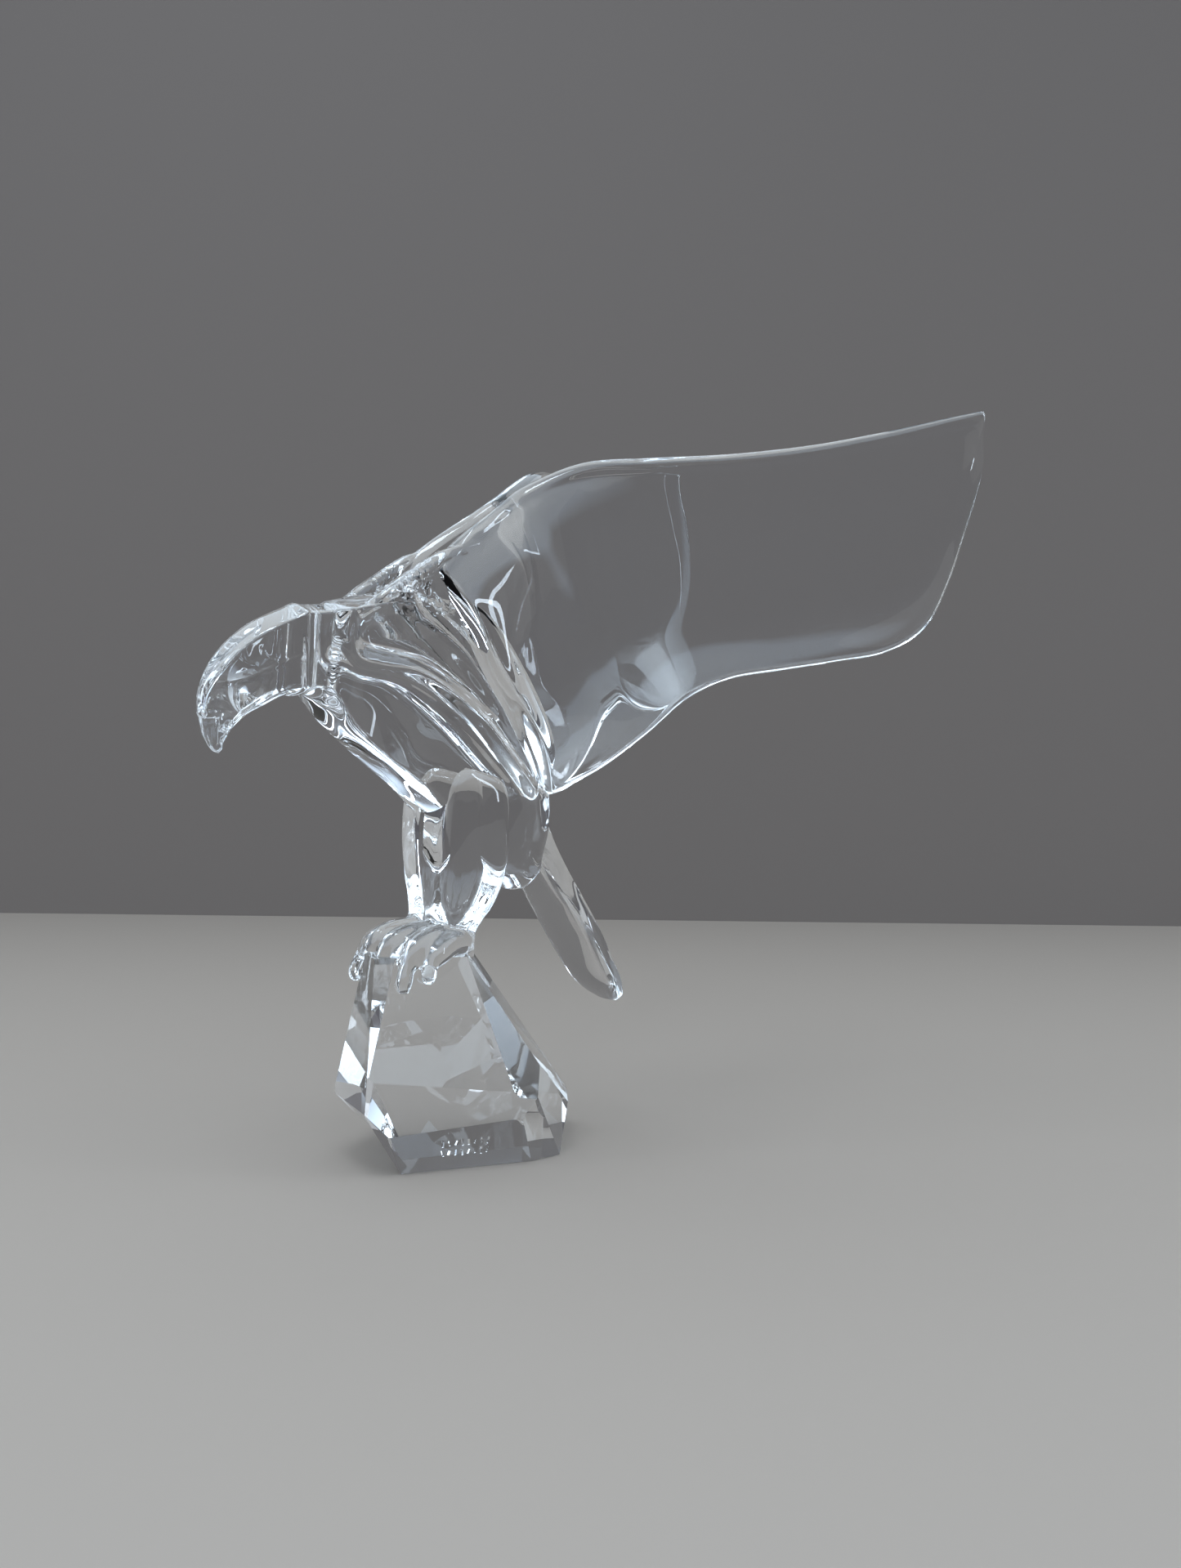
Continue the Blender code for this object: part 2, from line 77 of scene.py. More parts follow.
def skin(rings):
    """Points, walls and ends of a closed skin: ring i meets ring i+1, and each end meets its ring's mean."""
    count, around, _ = rings.shape
    points = np.vstack([rings.reshape(-1, 3), rings[0].mean(axis=0), rings[-1].mean(axis=0)])
    i, j = np.meshgrid(np.arange(count - 1), np.arange(around), indexing="ij")
    k = (j + 1) % around
    here, beyond = i * around, (i + 1) * around
    walls = np.stack([here + j, here + k, beyond + k, beyond + j], axis=-1).reshape(-1, 4)
    j = np.arange(around)
    k = (j + 1) % around
    last = (count - 1) * around
    start = np.stack([k, j, np.full(around, count * around)], axis=1)
    end = np.stack([last + j, last + k, np.full(around, count * around + 1)], axis=1)
    a, b, c, d = (points[walls[:, n]] for n in range(4))
    volume = (np.einsum("ij,ij->i", a, np.cross(b, c)) + np.einsum("ij,ij->i", a, np.cross(c, d))).sum()
    if volume < 0:
        walls, start, end = walls[:, ::-1], start[:, ::-1], end[:, ::-1]
    return points, walls, np.vstack([start, end])


def mesh_of(parts, name):
    """One mesh object from several skins, each one's faces counted on from the points before it."""
    points, faces, base = [], [], 0
    for some_points, walls, ends in parts:
        points.append(some_points)
        faces += (walls + base).tolist() + (ends + base).tolist()
        base += len(some_points)
    mesh = bpy.data.meshes.new(name)
    mesh.from_pydata((np.vstack(points) * MM).tolist(), [], faces)
    thing = bpy.data.objects.new(name, mesh)
    STAND.objects.link(thing)
    return thing


square = smooth_rows(((0.0, 0.0), (1.0, 0.0), (1.0, 1.0)), 5)
print("a curve through 3 stations in", len(square), "rows ends at", square[-1])


# %% [markdown]
# ## Head, neck and body
# The head hooks down into the beak, and behind it a groove runs round the neck. The body is a smooth mass
# from there to the rump, and the tail is a flat plank under it. Both are rings across the bird's middle
# plane. Its sides are flat, because the mould's two halves open sideways, and only the top and the front
# are rounded. Each station gives the ring's highest and lowest point, its half width, how far the top and
# the low end are rounded, and how much it narrows.

# %% Stations of trunk and tail
TRUNK_ROWS, TRUNK_AROUND = ((230, 216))
TAIL_ROWS, TAIL_AROUND = 70, 56
TRUNK = (
    (-107.4, 150.8, -105.2, 149.9, 0.9, 0.4, 0.6, 0.8, 0.0),
    (-108.8, 152.8, -104.2, 151.4, 1.8, 0.6, 0.8, 1.2, 0.0),
    (-110.6, 156.4, -103.2, 154.4, 2.5, 1.0, 1.0, 1.6, 0.0),
    (-112.0, 161.6, -101.2, 157.8, 3.2, 1.6, 1.2, 2.0, 0.0),
    (-112.6, 167.4, -98.2, 160.8, 4.2, 2.0, 1.4, 2.4, 0.0),
    (-111.6, 173.4, -94.8, 163.4, 5.4, 2.6, 1.5, 2.6, 0.0),
    (-107.8, 181.0, -91.0, 165.6, 7.4, 3.4, 1.6, 2.8, 0.0),
    (-101.4, 188.4, -87.4, 167.6, 9.4, 4.0, 1.8, 3.0, 0.0),
    (-92.4, 195.0, -83.6, 169.2, 10.8, 4.4, 1.8, 3.2, 0.0),
    (-82.6, 199.6, -80.0, 170.2, 11.8, 4.6, 1.8, 3.2, 0.0),
    (-78.0, 201.8, -78.6, 169.6, 12.2, 4.6, 1.8, 3.2, 0.0),
    (-75.4, 201.5, -76.6, 170.6, 9.8, 4.0, 2.4, 3.6, 0.0),
    (-67.8, 202.0, -71.0, 170.0, 9.6, 4.0, 2.4, 4.0, 0.0),
    (-63.8, 203.4, -67.4, 166.4, 14.6, 4.6, 2.2, 3.6, 0.05),
    (-53.0, 205.8, -59.0, 156.4, 12.4, 5.0, 3.0, 3.6, -0.28),
    (-38.0, 208.5, -44.0, 144.2, 11.6, 5.0, 4.0, 4.0, -0.38),
    (-21.0, 208.0, -31.0, 134.4, 13.0, 6.0, 5.0, 5.0, -0.24),
    (-2.0, 200.0, -16.0, 120.0, 15.6, 8.0, 6.0, 6.0, 0.0),
    (14.0, 184.0, -1.0, 107.0, 17.0, 10.0, 6.0, 8.0, 0.18),
    (25.0, 162.0, 10.0, 99.0, 15.4, 10.0, 6.0, 8.0, 0.14),
    (30.0, 141.0, 18.0, 95.8, 13.0, 10.0, 6.0, 10.0, 0.10),
    (31.0, 126.0, 24.0, 99.0, 9.6, 9.0, 5.0, 7.0, 0.0),
)
TAIL = (
    (28.0, 132.0, 10.0, 118.0, 8.0, 3.0, 3.0, 6.0, 0.0),
    (31.0, 117.0, 20.5, 109.5, 10.4, 1.0, 2.0, 3.0, 0.0),
    (37.0, 103.0, 29.0, 97.5, 13.2, 0.8, 1.6, 2.0, 0.0),
    (43.5, 91.5, 37.0, 87.0, 15.4, 0.8, 1.4, 1.8, 0.0),
    (50.0, 80.5, 44.5, 76.5, 16.4, 0.8, 1.4, 1.8, 0.0),
    (56.5, 69.0, 52.0, 65.5, 16.2, 0.8, 1.2, 1.6, 0.0),
    (63.0, 58.0, 59.2, 55.2, 14.8, 0.6, 1.2, 1.4, 0.0),
    (66.8, 51.2, 64.2, 49.6, 11.6, 0.5, 1.0, 1.2, 0.0),
    (68.6, 47.8, 67.0, 47.0, 6.4, 0.4, 0.8, 1.0, 0.0),
)
RIDGE_SOFTNESS = 0.25
print("trunk", len(TRUNK), "stations, tail", len(TAIL))


# %% Rings of trunk and tail
def upright(stations, count, around):
    """Ring = middle + rise * (top - low)/2. Half width = smooth least of the flank and the roof line, where
    roof line = half * sqrt(u(u + 2s)), with u = depth below the top over the roof's height and s the ridge's
    softness. The low end is a quarter ellipse."""
    columns = smooth_rows(stations, count).T[:, :, None]
    top_x, top_z, low_x, low_z, half, roof, corner, round_low, taper = columns
    turn = np.linspace(0.0, 2 * math.pi, around, endpoint=False)
    rise = -np.cos(turn)
    reach = np.hypot(top_x - low_x, top_z - low_z) / 2
    half = half * (1 - taper * (rise + 1) / 2)
    u = (1 - rise) * reach / roof
    roof_line = half * np.sqrt(u * (u + 2 * RIDGE_SOFTNESS))
    blend = np.clip(0.5 + 0.5 * (half - roof_line) / corner, 0.0, 1.0)
    wide = half * (1 - blend) + roof_line * blend - corner * blend * (1 - blend) * np.minimum(u, 1.0)
    over_low = np.minimum((1 + rise) * reach / round_low, 1.0)
    wide = wide * np.sqrt(over_low * (2 - over_low))
    return np.stack([
        (top_x + low_x) / 2 + rise * (top_x - low_x) / 2,
        np.sign(np.sin(turn)) * wide,
        (top_z + low_z) / 2 + rise * (top_z - low_z) / 2,
    ], axis=-1)


trunk = upright(TRUNK, TRUNK_ROWS, TRUNK_AROUND)
tail = upright(TAIL, TAIL_ROWS, TAIL_AROUND)
print("trunk", trunk.shape, "tail", tail.shape)


# %% [markdown]
# ## The wing blades
# Each wing is a thin plate with rounded edges, thinner toward the tip. Its leading edge draws in toward the
# wrist and then flares out to the tip, and a narrow rim runs beside that edge and shines like a pencil line
# of light. Toward the root the plate swells on its inner side into the body. Hand polishing leaves the
# faces gently uneven, and that is what bends the light, so the thickness carries slow waves. Each station
# gives the leading edge and the trailing edge in the side view, and the share of the full thickness there.

# %% Stations, edges and waves of a blade
BLADE_THICKNESS = 9.5
LEADING_ROUND, TRAILING_ROUND, TIP_ROUND = 3.2, 2.2, 1.4
THINNING_X = 90.0
ROOT_SWELL, SWELL_END_X = 4.2, 75.0
BLADE = (
    (-29.6, 215.6, 24.0, 133.4, 1.20),
    (-26.4, 219.2, 26.4, 134.0, 1.22),
    (-21.6, 223.6, 30.0, 135.4, 1.25),
    (-12.0, 231.2, 36.6, 139.4, 1.25),
    (2.0, 240.6, 46.0, 145.0, 1.20),
    (20.0, 252.8, 62.0, 158.0, 1.05),
    (40.0, 262.2, 76.0, 171.0, 1.00),
    (64.0, 265.2, 92.0, 179.2, 1.00),
    (92.0, 268.2, 112.0, 183.2, 1.00),
    (119.0, 272.8, 133.0, 187.0, 1.00),
    (142.0, 278.4, 153.4, 191.6, 0.95),
    (157.0, 282.6, 168.0, 201.6, 0.85),
    (167.0, 285.6, 176.4, 219.4, 0.72),
    (173.6, 287.4, 182.6, 240.6, 0.58),
    (178.0, 288.6, 187.8, 260.0, 0.48),
    (180.0, 289.0, 190.4, 272.0, 0.40),
)
WING_SPREAD = 196.0
SHOULDER_X, WRIST_X, TIP_X = -29.0, 14.0, 178.0
AT_SHOULDER, AT_WRIST, AT_TRAILING_ROOT = 12.5, 3.5, 13.5
TRAILING_X, TRAILING_TURN_X, TRAILING_FLARE = 20.0, 155.0, 0.72
LEADING_POWER, TRAILING_POWER = 1.12, 1.1
RIM_WIDTH, RIM_RISE, RIM_FADE, INNER_RIM = 5.0, 0.75, 0.6, 0.5
EDGE_FALL, PLATE_POWER = 26.0, 1.5
ROOT_ROUND, END_ROUND, END_START = 5.0, 3.0, 0.05
OUTER_WAVES = ((0.30, 9.0, 5.0, 1.3), (0.20, 17.0, -7.0, 0.0))
INNER_WAVES = ((0.35, 7.0, -6.0, 0.4), (0.20, 13.0, 8.0, 0.0))
ROOT_WAVE, OUTER_SHARE = 1.6, 0.6
ROOT_LONG, ROOT_SLANT = ((1.0, 15.0, 5.0, 0.0),), ((1.0, -6.0, 7.0, 0.0),)
BLADE_ROWS, BLADE_AROUND = ((116, 56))
print("each wing", len(BLADE), "stations")


# %% How far the edges stand out sideways
def leading_side(x):
    """The wrist's distance, plus a straight draw-in before it, plus a flare as a power after it."""
    draw = np.clip((WRIST_X - x) / (WRIST_X - SHOULDER_X), 0.0, 1.0)
    flare = np.clip((x - WRIST_X) / (TIP_X - WRIST_X), 0.0, None)
    return AT_WRIST + (AT_SHOULDER - AT_WRIST) * draw + (WING_SPREAD / 2 - AT_WRIST) * flare**LEADING_POWER


def trailing_side(x):
    """The root's distance plus its share of the spread times a flare that grows as a power."""
    flare = np.clip((x - TRAILING_X) / (TRAILING_TURN_X - TRAILING_X), 0.0, None)
    flared = (WING_SPREAD / 2 - AT_TRAILING_ROOT) * TRAILING_FLARE * flare**TRAILING_POWER
    return AT_TRAILING_ROOT + flared


print("the tips are", round(2 * leading_side(TIP_X), 1), "mm apart")


# %% How thick the blade is
def waves(table, along, across):
    """The sum, over the table's rows, of height * sin(a * along + b * across + start)."""
    return sum(height * np.sin(a * along + b * across + start) for height, a, b, start in table)


def thickness(lead_x, share, across, length):
    """Half thickness = a quarter-round edge + a plate that rises over EDGE_FALL. The rim beside the leading
    edge falls off as 1 / (1 + exp(distance / fade))."""
    to_tip = np.clip((lead_x - THINNING_X) / (TIP_X - THINNING_X), 0.0, 1.0)[:, None]
    edge_round = LEADING_ROUND + (TRAILING_ROUND - LEADING_ROUND) * across
    edge_round = edge_round + (TIP_ROUND - edge_round) * to_tip * np.maximum(across, to_tip)
    edge = np.minimum(np.minimum(across, 1 - across) * length / edge_round, 1.0)
    half = edge_round * np.sqrt(1 - (1 - edge) ** 2)
    shoulder_in = np.minimum(np.minimum(across, 1 - across) * length / EDGE_FALL, 1.0)
    plate = (shoulder_in * (2 - shoulder_in)) ** PLATE_POWER
    half = half + (share[:, None] * BLADE_THICKNESS / 2 - edge_round) * plate
    rim = RIM_RISE / (1 + np.exp((across * length - RIM_WIDTH) / RIM_FADE)) * edge
    return half, rim


def end_caps(lead):
    """1 along the blade, and down to 0 at its root and its tip, each as a quarter circle."""
    travelled = np.cumsum(np.linalg.norm(np.diff(lead, axis=0, prepend=lead[:1]), axis=1))[:, None]
    cap = np.clip((travelled + END_START) / ROOT_ROUND, 0.0, 1.0)
    end = np.clip((travelled[-1] - travelled + END_START) / END_ROUND, 0.0, 1.0)
    return np.sqrt(cap * (2 - cap) * end * (2 - end))


middle_half, _ = thickness(np.array([WRIST_X]), np.array([1.0]), np.array([[0.5]]), np.array([[100.0]]))
print("at the wrist the blade is", round(2 * float(middle_half[0, 0]), 1), "mm thick")


# %% One blade for each side
def blade(side):
    """Chord point = lead + t * chord. The skin stands off it by half thickness, swell and waves."""
    lead_x, lead_z, trail_x, trail_z, share = smooth_rows(BLADE, BLADE_ROWS).T
    lead = np.stack([lead_x, leading_side(lead_x), lead_z], axis=1)
    chord = np.stack([trail_x, trailing_side(trail_x), trail_z], axis=1) - lead
    length = np.linalg.norm(chord, axis=1)[:, None]
    normal = np.cross(chord, (1.0, 0.0, 1.0))
    normal /= np.linalg.norm(normal, axis=1)[:, None]
    turn = np.linspace(0.0, math.pi, BLADE_AROUND)[None, :]
    across = (1 - np.cos(turn)) / 2
    half, rim = thickness(lead_x, share, across, length)
    near_root = np.clip((SWELL_END_X - lead_x) / (SWELL_END_X - WRIST_X), 0.0, 1.0)[:, None]
    swell = ROOT_SWELL * near_root * np.sin(turn) ** 2
    cap = end_caps(lead)
    along = np.linspace(0.0, 1.0, len(lead))[:, None]
    root_wave = ROOT_WAVE * near_root * waves(ROOT_LONG, along, across) * waves(ROOT_SLANT, along, across)
    middle = lead[:, None] + across[..., None] * chord[:, None]
    bulge = (waves(OUTER_WAVES, along, across) - OUTER_SHARE * root_wave) * np.sin(turn)
    outer = middle + (cap * (half + rim + bulge))[..., None] * normal[:, None]
    swell = swell + (waves(INNER_WAVES, along, across) + root_wave) * np.sin(turn)
    inner = middle - (cap * (half + swell + INNER_RIM * rim))[..., None] * normal[:, None]
    rings = np.concatenate([outer, inner[:, -2:0:-1]], axis=1)
    rings[..., 1] *= side
    return skin(rings)


blades = [blade(-1), blade(1)]
print("each blade", len(blades[0][0]), "points")


# %% [markdown]
# ## Shoulders, legs and toes
# Forms that follow a path: a slab over each shoulder, two short thick legs, the pads of the feet, and toes
# that hang over the top of the rock. A modeller would lay rolls of clay along a line and press some of them
# flatter. A section carried along a curve does the same: power 2 keeps it round and a higher power squares
# it. Each station gives a point of the path, the half height and the half width. The right side is the left
# one mirrored.

# %% Paths of shoulder, leg and toes
SHOULDER = (
    (-64.0, -10.0, 194.0, 4.0, 2.6),
    (-57.0, -10.8, 194.6, 6.6, 3.6),
    (-48.0, -11.2, 197.0, 9.4, 4.0),
    (-38.0, -11.4, 200.4, 12.6, 4.2),
    (-28.0, -11.6, 203.6, 15.4, 4.2),
    (-18.0, -11.8, 207.4, 17.0, 4.2),
    (-9.0, -11.8, 212.0, 16.0, 4.0),
)
LEG = (
    (-6.0, -5.0, 147.0, 5.0, 4.0),
    (-7.0, -5.4, 143.0, 10.6, 9.4),
    (-8.2, -5.8, 136.0, 14.0, 12.4),
    (-8.8, -5.8, 122.0, 15.2, 13.2),
    (-9.0, -5.6, 108.0, 15.0, 12.4),
    (-10.6, -5.6, 98.0, 13.4, 10.6),
    (-12.8, -5.8, 90.5, 10.8, 8.4),
    (-14.6, -6.4, 84.0, 8.4, 7.4),
    (-15.2, -7.0, 77.5, 7.8, 7.6),
    (-15.4, -7.2, 72.0, 7.2, 7.2),
)
PAD = (
    (-10.0, -6.6, 78.4, 4.0, 8.4),
    (-20.0, -7.0, 78.6, 4.6, 9.6),
    (-30.0, -7.0, 78.0, 4.6, 9.8),
    (-38.0, -6.6, 76.6, 4.0, 9.2),
    (-42.4, -6.0, 74.0, 2.0, 6.6),
)
TOES = (
    (
        (-17.0, -6.0, 80.5, 6.0, 5.0),
        (-28.0, -5.4, 82.0, 5.8, 4.8),
        (-38.0, -5.0, 80.0, 5.4, 4.6),
        (-43.4, -4.8, 74.5, 3.6, 3.2),
        (-46.0, -4.8, 69.4, 3.4, 3.2),
        (-46.6, -4.8, 65.6, 1.8, 1.8),
    ),
    (
        (-16.0, -9.0, 80.0, 6.0, 5.0),
        (-27.0, -11.6, 81.0, 5.6, 4.8),
        (-35.0, -13.8, 78.0, 5.2, 4.6),
        (-39.8, -15.4, 72.5, 3.2, 3.0),
        (-41.8, -16.4, 67.4, 3.2, 3.0),
        (-42.2, -17.0, 63.8, 1.8, 1.8),
    ),
    (
        (-13.0, -10.5, 79.0, 5.4, 5.0),
        (-22.0, -14.8, 79.0, 5.0, 4.6),
        (-29.0, -17.8, 76.5, 4.4, 4.2),
        (-32.4, -19.4, 73.6, 3.0, 2.8),
        (-34.2, -20.8, 70.0, 3.0, 2.8),
        (-34.8, -21.6, 67.0, 1.8, 1.8),
    ),
    (
        (-18.0, -8.0, 79.0, 5.0, 5.4),
        (-13.6, -8.2, 78.4, 4.8, 5.2),
        (-10.4, -8.4, 75.6, 3.6, 4.2),
        (-9.2, -8.6, 71.4, 2.2, 2.6),
        (-8.8, -8.8, 67.6, 0.8, 0.8),
    ),
)
print("leg", len(LEG), "stations, toes", [len(toe) for toe in TOES])


# %% Rolls along a path
def roll(path, side, count, around, power=2.0):
    """Ring = path point + cosine * half height across the path + sine * half width beside it."""
    rows = smooth_rows(path, count)
    ahead = np.gradient(rows[:, :3], axis=0)
    ahead /= np.linalg.norm(ahead, axis=1)[:, None]
    across = np.cross(ahead, (0.0, 1.0, 0.0))
    across /= np.linalg.norm(across, axis=1)[:, None]
    beside = np.cross(across, ahead)
    cosine, sine = rounded(np.linspace(0.0, 2 * math.pi, around, endpoint=False), power)
    high, wide = cosine * rows[:, 3:4], sine * rows[:, 4:5]
    rings = rows[:, None, :3] + high[..., None] * across[:, None] + wide[..., None] * beside[:, None]
    rings[..., 1] *= side
    return rings


SHOULDER_ROWS, SHOULDER_AROUND, SHOULDER_POWER = 56, 72, 3.6
LEG_ROWS, LEG_AROUND, LEG_POWER = 110, 120, 4.0
TOE_ROWS, TOE_AROUND = 60, 40
shoulders, rolls = [], []
for side in (1, -1):
    shoulders.append(roll(SHOULDER, side, SHOULDER_ROWS, SHOULDER_AROUND, SHOULDER_POWER))
    rolls.append(skin(roll(LEG, side, LEG_ROWS, LEG_AROUND, LEG_POWER)))
    rolls += [skin(roll(toe, side, TOE_ROWS, TOE_AROUND)) for toe in (PAD, *TOES)]
print(len(rolls), "rolls for the legs and feet")


# %% [markdown]
# ## Legs and feet in one skin
# The legs, pads and toes overlap in many places. On the real eagle no joint shows there, and the forms run
# into one another with a soft crease. A voxel remesh wraps them all in one skin of even squares, and a few
# rounds of smoothing leave the creases soft. The squares are finer than such soft forms need, so the skin
# is thinned at the end.

# %% Fuse the legs and feet
VOXEL = 0.0009
SOFT_ROUNDS, SOFT_SHARE = 8, 0.5
FACES_KEPT = 0.45


def evaluated(thing, name):
    """A plain copy of the object with its modifiers worked in. The first object is removed."""
    graph = bpy.context.evaluated_depsgraph_get()
    mesh = bpy.data.meshes.new_from_object(thing.evaluated_get(graph))
    mesh.name = name
    made = bpy.data.objects.new(name, mesh)
    STAND.objects.link(made)
    bpy.data.objects.remove(thing, do_unlink=True)
    return made


feet = mesh_of(rolls, "feet")
fuse = feet.modifiers.new("fuse", "REMESH")
fuse.mode = "VOXEL"
fuse.voxel_size = VOXEL
soften = feet.modifiers.new("soften", "SMOOTH")
soften.factor = SOFT_SHARE
soften.iterations = SOFT_ROUNDS
thin = feet.modifiers.new("thin", "DECIMATE")
thin.ratio = FACES_KEPT
feet = evaluated(feet, "feet")
print("legs and feet", len(feet.data.polygons), "faces")


# %% [markdown]
# ## Carving
# The carver's lines go into the flanks of the body and the shoulders: the raised band from the neck down to
# the rump, the hollow panel above it, the channel in front of the blade, and the small cuts of the eye, the
# mouth and the beak. Each is drawn on the side view. Points move sideways, in for a hollow and out for a
# ridge. A hollow deepens from its rim, and a line fades as a bell curve with the distance. The rings are
# moved before they get their skin, so the polished flanks stay as smooth as the curves that they came from.

# %% Distance to a drawn line, and inside an outline
STEPS_A_POINT = 6
TINY = 1e-9


def away_from(points, line):
    """Least distance, in the side view, from each point to a line's pieces: the perpendicular's foot, clamped
    to the piece."""
    line = smooth_rows(line, len(line) * STEPS_A_POINT)
    flat = points[:, (0, 2)]
    best = np.full(len(points), np.inf)
    for a, b in zip(line, line[1:]):
        t = np.clip(((flat - a) @ (b - a)) / max((b - a) @ (b - a), TINY), 0.0, 1.0)
        best = np.minimum(best, np.linalg.norm(flat - a - t[:, None] * (b - a), axis=1))
    return best


def inside(points, corners):
    """1 inside the closed outline in the side view, else 0: counts the edges that a level ray meets."""
    flat = points[:, (0, 2)]
    corners = smooth_rows(corners + corners[:1], len(corners) * STEPS_A_POINT)
    crossings = np.zeros(len(points), dtype=int)
    for (x1, z1), (x2, z2) in zip(corners, corners[1:]):
        over = (z1 > flat[:, 1]) != (z2 > flat[:, 1])
        reach = (x2 - x1) * (flat[:, 1] - z1) / np.where(z2 == z1, TINY, z2 - z1) + x1
        crossings += over & (flat[:, 0] < reach)
    return (crossings % 2).astype(float)


corner = np.array([[3.0, 0.0, 4.0]])
print("a point is", away_from(corner, ((-1.0, 0.0), (0.0, 0.0)))[0], "mm away from the end of a line")


# %% The lines, in millimetres along and up
DISH = (
    (-59.6, 197.6), (-54.0, 201.3), (-46.0, 206.9), (-42.6, 203.5), (-37.0, 198.3),
    (-29.4, 192.4), (-18.6, 185.4), (-7.5, 174.6), (2.0, 162.0), (-3.7, 163.8), (-13.0, 169.8),
    (-23.9, 176.1), (-36.3, 182.2), (-49.9, 184.0), (-57.0, 185.8), (-60.2, 190.6),
)
CHANNEL = (
    (-39.0, 208.5), (-36.0, 201.8), (-27.4, 195.3), (-16.6, 187.6), (-7.4, 177.4), (1.6, 166.6),
    (9.4, 154.6), (17.2, 142.0), (21.6, 133.0), (24.0, 135.6), (21.0, 142.6), (14.2, 153.6),
    (6.0, 166.0), (-3.6, 179.8), (-12.6, 191.4), (-20.4, 200.2), (-27.6, 205.6), (-33.0, 211.0),
)
COLLAR = (
    (-63.0, 199.6), (-63.8, 192.6), (-63.0, 187.0), (-59.6, 182.8), (-50.0, 181.0),
    (-36.2, 178.8), (-22.1, 171.7), (-7.4, 160.8), (4.0, 148.6), (15.8, 136.0),
)
ROUGH = ((-38.0, 210.0), (-33.0, 214.4), (-27.0, 217.0), (-24.0, 211.0), (-25.0, 205.0), (-33.0, 203.0))
MOUTH = ((-106.0, 173.9), (-100.0, 174.8), (-94.0, 177.2), (-86.4, 180.6), (-79.6, 183.2))
EYE_ARC = ((-93.9, 185.6), (-93.6, 183.0), (-91.6, 181.6), (-88.6, 181.0))
NOSTRIL = (-108.4, 168.2)
BEAK_STEP = ((-113.4, 163.0), (-109.0, 163.4), (-105.6, 163.4))
BEAK_SPLIT = ((-106.0, 163.4), (-106.2, 158.0), (-106.0, 153.6))
LOWER_BEAK = (-103.3, 159.4)
HOLLOWS = ((DISH, 2.4, 7.0), (CHANNEL, 3.4, 5.0))
BODY_LINES = ((COLLAR, 2.3, 2.8),)
FACE_LINES = ((MOUTH, -0.25, 0.8), (EYE_ARC, -0.25, 0.7), (BEAK_STEP, 0.7, 0.8), (BEAK_SPLIT, -0.7, 0.7))
NOSTRIL_DEPTH, NOSTRIL_WIDTH = 0.6, 1.4
RING_RISE, RING_RADIUS, RING_WIDTH = 0.6, 1.3, 0.6
GRAIN_RISE = 0.45
CRISS, CROSS, FINE = ((1.0, 2.1, 1.3, 0.0),), ((1.0, -1.1, 1.9, 0.0),), ((0.6, 3.1, -0.7, 0.0),)
FLANK_FROM, FLANK_FADE = 3.0, 3.0
CHEEK_FROM, CHEEK_FADE = 0.6, 1.2
BODY_REAR_X, BODY_LOW_Z, HEAD_REAR_X = 34.0, 120.0, -70.0
print(len(HOLLOWS), "hollows and", len(BODY_LINES) + len(FACE_LINES), "lines")


# %% Move the flanks
def bowl(distance, width):
    """0 at the rim and 1 at the width, by t(2 - t): steep at the rim and level at the bottom."""
    t = np.clip(distance / width, 0.0, 1.0)
    return t * (2 - t)


def lines(points, table):
    """The sum, over the table's rows, of height * exp(-(distance to the line / width)^2)."""
    return sum(height * np.exp(-((away_from(points, line) / width) ** 2)) for line, height, width in table)


def carve(rings):
    """Sideways move = -depth * bowl inside each hollow, plus lines, ground patch, nostril and ring."""
    points = rings.reshape(-1, 3).copy()
    x, depth_in, z = points.T
    flank = np.clip((np.abs(depth_in) - FLANK_FROM) / FLANK_FADE, 0.0, 1.0)
    body = lines(points, BODY_LINES)
    for outline, depth, width in HOLLOWS:
        body -= inside(points, outline) * depth * bowl(away_from(points, outline + outline[:1]), width)
    grain = waves(CRISS, x, z) * waves(CROSS, x, z) + waves(FINE, x, z)
    body += inside(points, ROUGH) * GRAIN_RISE * grain
    face = lines(points, FACE_LINES)
    to_nostril = np.hypot(x - NOSTRIL[0], z - NOSTRIL[1])
    face -= NOSTRIL_DEPTH * np.exp(-((to_nostril / NOSTRIL_WIDTH) ** 2))
    to_ring = np.hypot(x - LOWER_BEAK[0], z - LOWER_BEAK[1]) - RING_RADIUS
    face += RING_RISE * np.exp(-((to_ring / RING_WIDTH) ** 2))
    cheek = np.clip((np.abs(depth_in) - CHEEK_FROM) / CHEEK_FADE, 0.0, 1.0)
    on_body = flank * (x < BODY_REAR_X) * (z > BODY_LOW_Z)
    on_head = cheek * (x < HEAD_REAR_X)
    points[:, 1] += np.sign(depth_in) * (body * on_body + face * on_head)
    return points.reshape(rings.shape)


trunk = carve(trunk)
shoulders = [carve(shoulder) for shoulder in shoulders]
print("body", len(trunk), "rings, each shoulder", len(shoulders[0]))


# %% [markdown]
# ## The cut rock
# The rock is cut and polished flat, facet by facet, with crisp edges that catch the light. Each facet is a
# plane, so the block is cut by one plane after another, just as the wheel does it. A narrow bevel takes the
# sharpness off, and two rows of short, shallow strokes are etched into the lower front facet.

